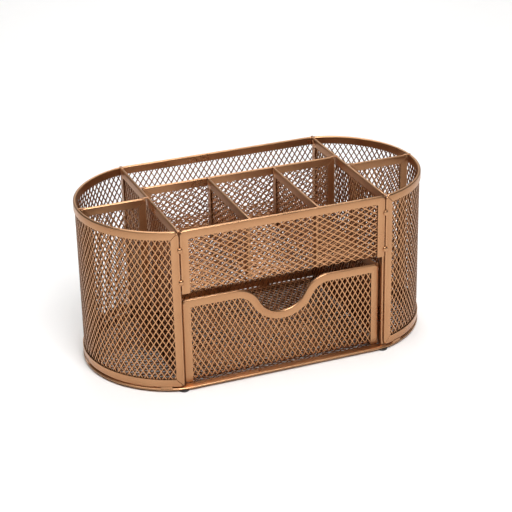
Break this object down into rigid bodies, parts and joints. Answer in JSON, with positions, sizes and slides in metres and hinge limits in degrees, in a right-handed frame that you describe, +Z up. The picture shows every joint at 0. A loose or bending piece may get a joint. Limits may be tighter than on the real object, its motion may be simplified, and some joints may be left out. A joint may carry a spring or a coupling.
{
  "type": "pen stand with drawer",
  "caption": "Oblong mesh desk organizer: open-topped pen and note compartments round a raised tray, with a pull-out drawer under it.",
  "frame": {"origin": "on the desk under the middle of the stand", "axes": "+Z up, +X along the length to the right, the drawer slides out towards -Y"},
  "size_m": [0.222, 0.114, 0.105],
  "materials": {
    "rose_gold_channel": "satin",
    "rose_gold_mesh": "satin",
    "foot_rubber": "matte"
  },
  "bodies": {
    "stand": {"base_mesh": "rose_gold_mesh", "base_rim": "rose_gold_channel", "base_weld_tabs": "rose_gold_channel", "divider_top_tabs": "rose_gold_channel", "front_left_foot": "foot_rubber", "front_panel_frame": "rose_gold_channel", "front_panel_mesh": "rose_gold_mesh", "front_right_foot": "foot_rubber", "front_seam_tabs": "rose_gold_channel", "left_cross_divider_frame": "rose_gold_channel", "left_cross_divider_mesh": "rose_gold_mesh", "left_end_divider_frame": "rose_gold_channel", "left_end_divider_mesh": "rose_gold_mesh", "left_front_post": "rose_gold_channel", "left_small_divider_frame": "rose_gold_channel", "left_small_divider_mesh": "rose_gold_mesh", "long_divider_frame": "rose_gold_channel", "long_divider_mesh": "rose_gold_mesh", "outer_wall_bottom_rim": "rose_gold_channel", "outer_wall_mesh": "rose_gold_mesh", "outer_wall_top_rim": "rose_gold_channel", "rear_left_foot": "foot_rubber", "rear_right_foot": "foot_rubber", "right_cross_divider_frame": "rose_gold_channel", "right_cross_divider_mesh": "rose_gold_mesh", "right_end_divider_frame": "rose_gold_channel", "right_end_divider_mesh": "rose_gold_mesh", "right_front_post": "rose_gold_channel", "right_small_divider_frame": "rose_gold_channel", "right_small_divider_mesh": "rose_gold_mesh"},
    "drawer": {"drawer_back_rim": "rose_gold_channel", "drawer_front_frame": "rose_gold_channel", "drawer_left_rim": "rose_gold_channel", "drawer_left_side_mesh": "rose_gold_mesh", "drawer_right_rim": "rose_gold_channel", "drawer_right_side_mesh": "rose_gold_mesh", "drawer_tray_mesh": "rose_gold_mesh"}
  },
  "joints": [
    {"name": "drawer_slide", "type": "slide", "parent": "stand", "child": "drawer", "axis": [0, -1, 0], "range_m": [0, 0.09]}
  ]
}
